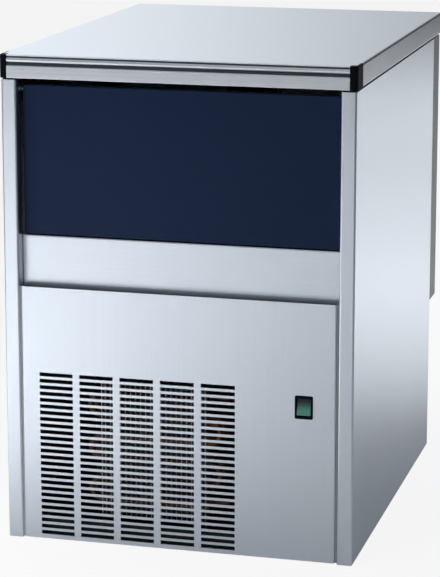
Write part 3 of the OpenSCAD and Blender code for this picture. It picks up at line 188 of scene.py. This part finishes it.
def galvanisedSheet(name):
    material, tree, shader = newMaterial(name, {"Metallic": 1.0})
    coords = addNode(tree, "ShaderNodeTexCoord")
    crystals = addNode(tree, "ShaderNodeTexVoronoi", {"Scale": 1000 / spangle["crystal"]},
                       {"Vector": coords.outputs["Object"]})
    shade = addNode(tree, "ShaderNodeSeparateColor", None, {"Color": crystals.outputs["Color"]})
    surface(tree, shader, shade.outputs[0], spangle["colours"], spangle["rough"], None)
    return material


# Rocker: clear green polycarbonate, with painted shade in its upper part and a painted highlight that makes
# it paler below
rockerPaintedLight = {"colours": ("#0b1f1f", "#5b978c"), "rough": (0.08, 0.14),
              "dark": 9, "pale": -5}  # mm above the rocker's middle where the painted shade is full and where the painted highlight is full


def rockerLens(name):
    material, tree, shader = newMaterial(name, {"Metallic": 0.0, "IOR": 1.58, "Specular IOR Level": 0.2,
                                                "Transmission Weight": 0.1})
    low, high = nodeBox("switch_rocker")
    middle = (low.z + high.z) / 2
    coords = addNode(tree, "ShaderNodeTexCoord")
    axes = addNode(tree, "ShaderNodeSeparateXYZ", None, {0: coords.outputs["Object"]})
    # painted light: the colour runs from the dark shade above to the pale highlight below, by height
    paintedLightShare = addNode(tree, "ShaderNodeMapRange", {"interpolation_type": "SMOOTHSTEP",
                                                "From Min": (middle + rockerPaintedLight["dark"]) * mm,
                                                "From Max": (middle + rockerPaintedLight["pale"]) * mm,
                                                "To Min": colourSpan[0], "To Max": colourSpan[1]},
                   {"Value": axes.outputs["Z"]})
    surface(tree, shader, paintedLightShare.outputs[0], rockerPaintedLight["colours"], rockerPaintedLight["rough"], None)
    return material


finishes = {
    # the cabinet's sheets: grain upright on the front and sides, along the width on the top
    "uprightSteel": brushedStainless("brushed_stainless_upright", (2.0, 2.0, 330)),
    "crossSteel": brushedStainless("brushed_stainless_cross", (330, 2.0, 2.0)),
    # the top's folded side bands get painted shade: their base colour is darkened by how far they face
    # sideways
    "topSteelShadedSides": brushedStainless("brushed_stainless_top_painted_side_shade", (330, 2.0, 2.0), 0.52),
    "galvanised": galvanisedSheet("galvanised_spangle"),
    # the tray's zinc: dulled, and painted dark for the shade under the machine
    "shadedZinc": plainFinish("zinc_sheet_painted_shade", {"Metallic": 1.0}, (11, 11, 11),
                            ("#33383c", "#454b50"), (0.50, 0.66), None),
    # extruded and anodised aluminium: a satin shine with faint lines along the extrusion
    "anodised": plainFinish("anodised_aluminium_satin", {"Metallic": 1.0}, (420, 1.4, 1.4),
                            ("#d9dee5", "#e6e9ee"), (0.38, 0.46), (0.03, 0.02), 4.0),
    # rolled fin stock: bright thin aluminium with a slight haze
    "finStock": plainFinish("rolled_aluminium_fin", {"Metallic": 1.0}, (6, 6, 40),
                            ("#b5babf", "#cfd4d8"), (0.30, 0.42), None),
    # sand-cast aluminium: dull grey with a grainy skin
    "cast": plainFinish("cast_aluminium", {"Metallic": 1.0}, (1.6, 1.6, 1.6),
                        ("#8d9296", "#a6abaf"), (0.50, 0.66), (0.35, 0.25)),
    # turned stainless: fine rings across the axis
    "turned": plainFinish("turned_stainless", {"Metallic": 1.0}, (60, 60, 1.2),
                          ("#b9bec3", "#d2d6da"), (0.20, 0.32), (0.04, 0.02)),
    # zinc-plated steel of the screws: bright, with a faint mottle
    "zincPlate": plainFinish("zinc_plated_steel", {"Metallic": 1.0}, (3, 3, 3),
                             ("#b3b6b4", "#d0d2cf"), (0.26, 0.40), None),
    # drawn copper, darkened: partly a little tarnish, partly painted shade inside the machine
    "copper": plainFinish("drawn_copper_tarnish_and_painted_shade", {"Metallic": 1.0}, (14, 14, 14),
                          ("#6e4a3e", "#8a6052"), (0.30, 0.48), None),
    # turned bronze: warm and satin, with fine rings
    "bronze": plainFinish("turned_bronze", {"Metallic": 1.0}, (30, 30, 1.5),
                          ("#a5813f", "#c39a55"), (0.28, 0.42), (0.04, 0.02)),
    # powder coat: satin grey with a slight orange peel, and the same in a dark shade
    "greyCoat": plainFinish("powder_coat_grey", {"Metallic": 0.0}, (2.2, 2.2, 2.2),
                            ("#6d7276", "#7a7f83"), (0.38, 0.48), (0.12, 0.12)),
    "darkCoat": plainFinish("powder_coat_dark", {"Metallic": 0.0}, (2.2, 2.2, 2.2),
                            ("#26292c", "#303437"), (0.40, 0.52), (0.12, 0.12)),
    # sprayed paint of the motors: a thicker, softer grey
    "motorPaint": plainFinish("motor_paint_grey", {"Metallic": 0.0}, (3, 3, 3),
                              ("#4a5054", "#5a6065"), (0.36, 0.50), (0.10, 0.12)),
    # black enamel of the compressor: smooth, with long soft highlights
    "enamel": plainFinish("black_enamel", {"Metallic": 0.0, "Coat Weight": 0.3, "Coat Roughness": 0.12},
                          (5, 5, 5), ("#121416", "#1b1e20"), (0.24, 0.34), (0.05, 0.10)),
    # moulded ABS: fine texture and low gloss, in black, dark grey and white
    "blackAbs": plainFinish("moulded_abs_black", {"Metallic": 0.0, "Specular IOR Level": 0.08},
                            (0.9, 0.9, 0.9), ("#05080b", "#0a0e12"), (0.55, 0.65), (0.10, 0.06)),
    "darkAbs": plainFinish("moulded_abs_dark", {"Metallic": 0.0}, (0.9, 0.9, 0.9),
                           ("#2b3034", "#373d41"), (0.40, 0.52), (0.10, 0.06)),
    "whiteAbs": plainFinish("moulded_abs_white", {"Metallic": 0.0}, (1.2, 1.2, 1.2),
                            ("#d9dcdc", "#e6e8e8"), (0.36, 0.46), (0.06, 0.06)),
    # vacuum-formed bin liner: pale, with the soft unevenness of a stretched sheet
    "liner": plainFinish("vacuum_formed_liner", {"Metallic": 0.0}, (8, 8, 8),
                         ("#c3cacf", "#d2d8dc"), (0.30, 0.42), (0.05, 0.10)),
    # the door: dark blue moulded panel with an even, fine texture
    "doorAbs": plainFinish("moulded_door_blue", {"Metallic": 0.0, "Specular IOR Level": 0.1}, (1.1, 1.1, 1.1),
                           ("#152542", "#1a2a48"), (0.28, 0.34), (0.06, 0.05)),
    # hoses of clouded PVC: milky, and a little light comes through
    "hose": plainFinish("clouded_pvc_hose", {"Metallic": 0.0, "Transmission Weight": 0.25}, (12, 12, 12),
                        ("#c4cbce", "#d8dee0"), (0.22, 0.34), None),
    # the float: moulded in orange, so that it shows in the tank
    "floatAbs": plainFinish("moulded_float_orange", {"Metallic": 0.0}, (2, 2, 2),
                            ("#a8431f", "#bf5630"), (0.36, 0.48), (0.05, 0.05)),
    "greenLens": rockerLens("clear_green_polycarbonate_painted_light"),
    # strips of the edge profile: matt dark grey vinyl, dark to paint the shade in the profile's groove and
    # seam
    "shadeVinyl": plainFinish("grey_vinyl_painted_shade", {"Metallic": 0.0, "Specular IOR Level": 0.2}, (1.4, 1.4, 1.4),
                             ("#343a41", "#3c424a"), (0.55, 0.7), (0.1, 0.06)),
    # shoes of the door: dark grey nylon
    "greyNylon": plainFinish("moulded_nylon_grey", {"Metallic": 0.0}, (2, 2, 2),
                             ("#34383b", "#414548"), (0.42, 0.54), (0.05, 0.05)),
    # rigid foam: pale, with small cells
    "paleFoam": plainFinish("rigid_foam", {"Metallic": 0.0}, (1.5, 1.5, 1.5),
                            ("#d5cfb4", "#e6e1ca"), (0.75, 0.9), (0.4, 0.4)),
    # closed-cell foam: matt with fine cells, black round the barrel and grey beside the lower panel
    "blackFoam": plainFinish("closed_cell_foam", {"Metallic": 0.0}, (1.2, 1.2, 1.2),
                             ("#1c1e20", "#2a2d2f"), (0.7, 0.85), (0.4, 0.4)),
    "greyFoam": plainFinish("closed_cell_foam_grey", {"Metallic": 0.0, "Specular IOR Level": 0.2},
                            (1.2, 1.2, 1.2), ("#8b9095", "#9ea3a8"), (0.7, 0.85), (0.2, 0.2)),
    # black rubber: matt, nearly without highlights
    "rubber": plainFinish("black_rubber", {"Metallic": 0.0, "Specular IOR Level": 0.3}, (1.4, 1.4, 1.4),
                          ("#121416", "#1d2022"), (0.6, 0.75), (0.2, 0.1)),
}
print("materials made:", len(finishes))

# Which finish each CAD node has
finishOf = {
    "uprightSteel": ["left_side_panel", "right_side_panel", "front_panel"],
    "crossSteel": ["front_sill"],
    "topSteelShadedSides": ["top_panel"],
    "shadedZinc": ["base_tray"],
    "galvanised": ["rear_panel", "bin_shelf", "drive_pedestal", "fan_bracket"],
    "anodised": ["top_front_profile", "left_door_rail", "right_door_rail"],
    "finStock": ["condenser_fins"],
    "cast": ["gear_reducer"],
    "turned": ["level_probe_tube", "door_pins", "freezing_barrel", "auger"],
    "zincPlate": ["rear_screws"],
    "copper": ["condenser_coil", "filter_drier", "discharge_pipe", "liquid_pipe", "suction_pipe"],
    "bronze": ["ice_breaker_head", "lower_bearing_housing"],
    "greyCoat": ["rear_cover", "electrical_box"],
    "darkCoat": ["fan_shroud", "fan_blade"],
    "motorPaint": ["gear_motor", "fan_motor"],
    "enamel": ["compressor"],
    "blackAbs": ["left_corner_cap", "right_corner_cap", "switch_body", "cable_gland"],
    "darkAbs": ["drain_outlet"],
    "whiteAbs": ["bin_drain_fitting", "ice_spout", "float_tank", "float_tank_lid", "water_inlet_valve"],
    "greyNylon": ["door_shoes"],
    "liner": ["bin_liner"],
    "doorAbs": ["door_panel"],
    "hose": ["bin_drain_hose", "water_feed_hose", "water_inlet_hose"],
    "floatAbs": ["float_arm"],
    "greenLens": ["switch_rocker"],
    "paleFoam": ["top_insulation", "bin_insulation"],
    "blackFoam": ["barrel_insulation"],
    "rubber": ["top_gasket", "sill_seal", "compressor_mounts"],
}
nodeFinish = {name: finish for finish, names in finishOf.items() for name in names}
for name, finish in nodeFinish.items():
    for holder in nodes[name].material_slots:
        holder.material = finishes[finish]
print("finishes given to", len(nodeFinish), "nodes")

# The distance in mm at which corners merge, and the angles in degrees at which faces count as one flat face,
# an edge is sharp enough to be rounded, and an edge shades as sharp
softening = {"merge": 0.01, "flat": 0.5, "sharp": 40, "crease": 38}


# A merged copy of a CAD node, to soften its edges
def copyNode(name):
    work = bmesh.new()
    work.from_mesh(nodes[name].data)
    bmesh.ops.remove_doubles(work, verts=work.verts, dist=softening["merge"] * mm)
    bmesh.ops.dissolve_limit(work, angle_limit=math.radians(softening["flat"]), verts=work.verts,
                             edges=work.edges)
    return work


# Rounds the sharp edges that a test on their two ends, in mm, picks out
def roundEdges(work, radiusMm, test, segments=3):
    least = math.radians(softening["sharp"])
    sharp = [e for e in work.edges if len(e.link_faces) == 2 and e.calc_face_angle(0) > least]
    picked = [e for e in sharp if all(test(v.co / mm) for v in e.verts)]
    bmesh.ops.bevel(work, geom=picked, offset=radiusMm * mm, offset_type="OFFSET", affect="EDGES",
                    segments=segments, profile=0.5, material=-1, clamp_overlap=True)


bodyOf = {node: body for body, members in frame["record"]["behaviour"]["bodies"].items() for node in members}


# Makes the piece's object, smooth but for its sharp edges, and sets it on its body
def makePiece(work, name, finish, body, replaced=()):
    data = bpy.data.meshes.new(name)
    work.to_mesh(data)
    work.free()
    data.polygons.foreach_set("use_smooth", [True] * len(data.polygons))
    data.set_sharp_from_angle(angle=math.radians(softening["crease"]))
    data.materials.append(finishes[finish])
    piece = bpy.data.objects.new(name, data)
    bpy.context.scene.collection.objects.link(piece)
    flat = piece.modifiers.new("flatFaces", "WEIGHTED_NORMAL")  # keeps large faces flat beside small rounds
    flat.keep_sharp = True
    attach(piece, body)
    if replaced:
        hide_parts(*replaced)


# The finished copy of a node takes the node's place, with its finish and body
def replaceNode(work, node, pieceName):
    makePiece(work, pieceName, nodeFinish[node], bodyOf[node], [node])


# A box between two corners in mm, as a bmesh
def boxMesh(low, high):
    work = bmesh.new()
    low, high = Vector(low) * mm, Vector(high) * mm
    stretch = Matrix.Diagonal((*(high - low), 1))
    bmesh.ops.create_cube(work, size=1.0, matrix=Matrix.Translation((low + high) / 2) @ stretch)
    return work


# Door: a moulded leaf with softly rounded rims
doorLeaf = {"frontRound": 1.8, "backRound": 1.0}
low, high = nodeBox("door_panel")
work = copyNode("door_panel")
roundEdges(work, doorLeaf["frontRound"], lambda p: p.y < low.y + onFace, segments=4)
roundEdges(work, doorLeaf["backRound"], lambda p: p.y > high.y - onFace and abs(p.x) < high.x - onFace)
replaceNode(work, "door_panel", "door_leaf")

# Corner caps: mouldings with a rounded nose at the top
cornerCap = {"topRound": 2.4, "bottomRound": 0.8}
for side in ("left", "right"):
    low, high = nodeBox(side + "_corner_cap")
    work = copyNode(side + "_corner_cap")
    roundEdges(work, cornerCap["topRound"], lambda p: p.z > high.z - onFace, segments=5)
    roundEdges(work, cornerCap["bottomRound"], lambda p: p.z < low.z + onFace)
    replaceNode(work, side + "_corner_cap", side + "_cap")

# Sheet metal: the folds are in the solids, and the sheared rims get a small deburred round
sheetRims = {
    "top_panel": {"rim": 0.3, "at": lambda p, low, high: p.y > high.y - onFace},
    "left_side_panel": {"rim": 0.3, "at": lambda p, low, high: p.z < low.z + onFace},
    "right_side_panel": {"rim": 0.3, "at": lambda p, low, high: p.z < low.z + onFace},
    "front_panel": {"rim": 0.35, "at": lambda p, low, high: p.z > high.z - onFace or p.z < low.z + onFace},
    "front_sill": {"rim": 0.3, "at": lambda p, low, high: abs(p.x) > high.x - onFace},
    "rear_cover": {"rim": 0.3, "at": lambda p, low, high: p.y < low.y + onFace},
}
for name, sheet in sheetRims.items():
    low, high = nodeBox(name)
    work = copyNode(name)
    roundEdges(work, sheet["rim"], lambda p: sheet["at"](p, low, high))
    replaceNode(work, name, name + "_sheet")
print("door, caps and sheets made")

# Front edge profile, with dark vinyl strips in its groove and in the seam under the top's hem, which paint
# the shade there
edgeProfile = {
    "groove": (17.8, 21.5),  # mm above the profile's lower edge
    "seam": (29.1, 30.5),
    "endGap": 0.2, "sunk": 1.2, "depth": 3.5, "slack": 0.05, "round": 0.4,
}
low, high = nodeBox("top_front_profile")
replaceNode(copyNode("top_front_profile"), "top_front_profile", "edge_profile")
stripHalf, stripFront = high.x - edgeProfile["endGap"], low.y + edgeProfile["sunk"]
for name in ("groove", "seam"):
    bottom, top = edgeProfile[name]
    work = boxMesh((-stripHalf, stripFront, low.z + bottom + edgeProfile["slack"]),
                   (stripHalf, low.y + edgeProfile["depth"], low.z + top - edgeProfile["slack"]))
    roundEdges(work, edgeProfile["round"], lambda p: p.y < stripFront + onFace)
    makePiece(work, name + "_shade_strip", "shadeVinyl", "cabinet")

# Soft seals in the joints between the lower panel and the posts
edgeSeal = {"slack": 0.1, "sunk": 2.2, "depth": 8, "endGap": 0.5, "round": 0.4}
low, high = nodeBox("front_panel")
sealFront = low.y + edgeSeal["sunk"]
panelEdge = high.x + edgeSeal["slack"]
postEdge = nodeBox("right_side_panel")[0].x - edgeSeal["slack"]
for name, near, far in (("left", -postEdge, -panelEdge), ("right", panelEdge, postEdge)):
    work = boxMesh((near, sealFront, low.z + edgeSeal["endGap"]),
                   (far, low.y + edgeSeal["depth"], high.z - edgeSeal["endGap"]))
    roundEdges(work, edgeSeal["round"], lambda p: p.y < sealFront + onFace)
    makePiece(work, name + "_edge_seal", "greyFoam", "cabinet")

# Switch: a moulded bezel with a rounded rim, and the clear rocker in it
powerSwitch = {
    "bezelRound": 0.8,
    "lensRound": 0.7,
    "lensDepth": 5.2,  # mm behind the rocker's front, within which its edges are rounded
}
low = nodeBox("switch_body")[0]
work = copyNode("switch_body")
roundEdges(work, powerSwitch["bezelRound"], lambda p: p.y < low.y + onFace)
replaceNode(work, "switch_body", "switch_bezel")
low = nodeBox("switch_rocker")[0]
work = copyNode("switch_rocker")
roundEdges(work, powerSwitch["lensRound"], lambda p: p.y < low.y + powerSwitch["lensDepth"])
replaceNode(work, "switch_rocker", "rocker_lens")

# Turned, moulded and drawn pieces that only need their facets smoothed
smoothPieces = [
    "water_inlet_valve", "drain_outlet", "cable_gland", "bin_liner", "ice_spout", "level_probe_tube",
    "bin_drain_fitting", "bin_drain_hose", "freezing_barrel", "barrel_insulation", "auger",
    "ice_breaker_head", "lower_bearing_housing", "gear_reducer", "gear_motor", "compressor",
    "compressor_mounts", "condenser_coil", "fan_shroud", "fan_motor", "fan_blade", "filter_drier",
    "discharge_pipe", "liquid_pipe", "suction_pipe", "float_tank", "float_arm", "water_feed_hose",
    "water_inlet_hose", "door_pins", "door_shoes", "rear_screws",
]
for name in smoothPieces:
    replaceNode(copyNode(name), name, name + "_smooth")
print("profile, seals, switch and smoothed pieces made")

# Pale floor: the camera sees it nearly white, with the object's soft shadow, and the steel mirrors it as lit
paperWhite = (1, 1, 1, 1)
floorLook = {
    "size": 14.0,  # m, half a side
    "colour": "#e9ebee",
    "rough": 0.9,
    "white": 0.88,  # the share of plain white that the camera sees
}
work = bmesh.new()
bmesh.ops.create_grid(work, x_segments=1, y_segments=1, size=floorLook["size"])
floorData = bpy.data.meshes.new("floor")
work.to_mesh(floorData)
work.free()
floor = bpy.data.objects.new("floor", floorData)
bpy.context.scene.collection.objects.link(floor)
floorMaterial, tree, shader = newMaterial("pale_floor", {
    "Base Color": linear(floorLook["colour"]), "Roughness": floorLook["rough"], "Specular IOR Level": 0.0})
path = addNode(tree, "ShaderNodeLightPath")
white = addNode(tree, "ShaderNodeEmission", {"Color": paperWhite, "Strength": 1.0})
share = addNode(tree, "ShaderNodeMath", {"operation": "MULTIPLY", 1: floorLook["white"]},
                {0: path.outputs["Is Camera Ray"]})
blend = addNode(tree, "ShaderNodeMixShader", None,
                {0: share.outputs[0], 1: shader.outputs[0], 2: white.outputs[0]})
tree.links.new(blend.outputs[0], tree.nodes["Material Output"].inputs["Surface"])
floorData.materials.append(floorMaterial)

# Room: white to the camera and through glass, and an even soft light on the object.
# In the steel it is a pale room whose back wall is bright on the left and falls off to the right.
roomLight = {"even": 0.15, "wallLeft": 1.13, "wallMid": 0.385, "around": 0.45, "ceiling": 0.5}
roomTint = (0.975, 1.0, 1.03, 1)  # a cool daylight white
# Where a part of the room begins and where it is full, along one axis of the direction looked in
fades = {
    "behind": ("Y", 0.0, 0.3), "before": ("Y", 0.3, 0.0),
    "left": ("X", -0.08, -0.36), "inward": ("X", -0.36, -0.08), "middle": ("X", 0.25, 0.0),
    "farRight": ("X", 0.36, 0.54),
    "up": ("Z", 0.02, 0.22), "below": ("Z", 0.8, 0.45), "high": ("Z", 0.45, 0.8),
}
roomParts = [
    ("wallLeft", ("behind", "left")),
    ("wallMid", ("behind", "inward", "middle")),
    ("around", ("before", "up", "below")),
    ("around", ("behind", "farRight", "up", "below")),
    ("ceiling", ("high",)),
]
world = bpy.data.worlds.new("studio")
bpy.context.scene.world = world
world.use_nodes = True
tree = world.node_tree
tree.nodes.clear()
direction = addNode(tree, "ShaderNodeTexCoord")
axes = addNode(tree, "ShaderNodeSeparateXYZ", None, {0: direction.outputs["Generated"]})
fade = {}
for name, (axis, first, last) in fades.items():
    ramp = addNode(tree, "ShaderNodeMapRange",
                   {"interpolation_type": "SMOOTHSTEP", "From Min": first, "From Max": last},
                   {"Value": axes.outputs[axis]})
    fade[name] = ramp.outputs[0]
glow = None
for level, factors in roomParts:
    part = addNode(tree, "ShaderNodeMath", {"operation": "MULTIPLY", 1: roomLight[level]},
                   {0: fade[factors[0]]})
    for factor in factors[1:]:
        part = addNode(tree, "ShaderNodeMath", {"operation": "MULTIPLY"},
                       {0: part.outputs[0], 1: fade[factor]})
    if glow:
        part = addNode(tree, "ShaderNodeMath", {"operation": "ADD"}, {0: glow.outputs[0], 1: part.outputs[0]})
    glow = part
path = addNode(tree, "ShaderNodeLightPath")
even = addNode(tree, "ShaderNodeBackground", {"Color": paperWhite, "Strength": roomLight["even"]})
mirrored = addNode(tree, "ShaderNodeBackground", {"Color": roomTint}, {"Strength": glow.outputs[0]})
paper = addNode(tree, "ShaderNodeBackground", {"Color": paperWhite, "Strength": 1.0})
inSteel = addNode(tree, "ShaderNodeMixShader", None,
                  {0: path.outputs["Is Glossy Ray"], 1: even.outputs[0], 2: mirrored.outputs[0]})
seen = addNode(tree, "ShaderNodeMath", {"operation": "MAXIMUM"},
               {0: path.outputs["Is Camera Ray"], 1: path.outputs["Is Transmission Ray"]})
backdrop = addNode(tree, "ShaderNodeMixShader", None,
                   {0: seen.outputs[0], 1: inSteel.outputs[0], 2: paper.outputs[0]})
addNode(tree, "ShaderNodeOutputWorld", None, {"Surface": backdrop.outputs[0]})

# Soft boxes that light the floor in front on the left and behind on the right, which the steel mirrors.
# They are out of sight of the camera and of the steel. Sizes are in m, power in W, and a box without an aim
# shines straight down.
softBoxes = {
    "top_box": {"place": (-0.4, -0.3, 2.6), "aim": (0, 0, 0.4), "size": (1.6, 1.6), "power": 8.0},
    "left_box": {"place": (-1.0, -0.9, 0.8), "aim": (-0.8, -1.1, 0), "size": (0.8, 0.8), "power": 3.7},
    "left_low_box": {"place": (-0.75, -0.95, 0.4), "size": (0.7, 1.0), "power": 4.4},
    "front_low_box": {"place": (-1.0, -2.0, 0.5), "size": (0.9, 1.2), "power": 4.0},
    "front_box": {"place": (-1.5, -3.2, 1.4), "aim": (-1.1, -2.9, 0), "size": (1.4, 1.4), "power": 47.0},
    "right_low_box": {"place": (0.7, 1.05, 0.35), "size": (0.9, 1.1), "power": 3.5},
    "back_low_box": {"place": (0.9, 1.95, 0.5), "size": (1.0, 1.2), "power": 4.3},
    "back_box": {"place": (1.5, 3.8, 1.6), "aim": (1.3, 3.5, 0), "size": (1.8, 1.8), "power": 42.0},
}
for name, box in softBoxes.items():
    lampData = bpy.data.lights.new(name, "AREA")
    lampData.shape = "RECTANGLE"
    lampData.size, lampData.size_y = box["size"]
    lampData.energy = box["power"]
    lamp = bpy.data.objects.new(name, lampData)
    place = Vector(box["place"])
    aim = Vector(box.get("aim", (place.x, place.y, 0)))
    lamp.location = place
    lamp.rotation_euler = (aim - place).to_track_quat("-Z", "Y").to_euler()
    lamp.visible_camera = False
    lamp.visible_glossy = False
    bpy.context.scene.collection.objects.link(lamp)
print("stage and light set")
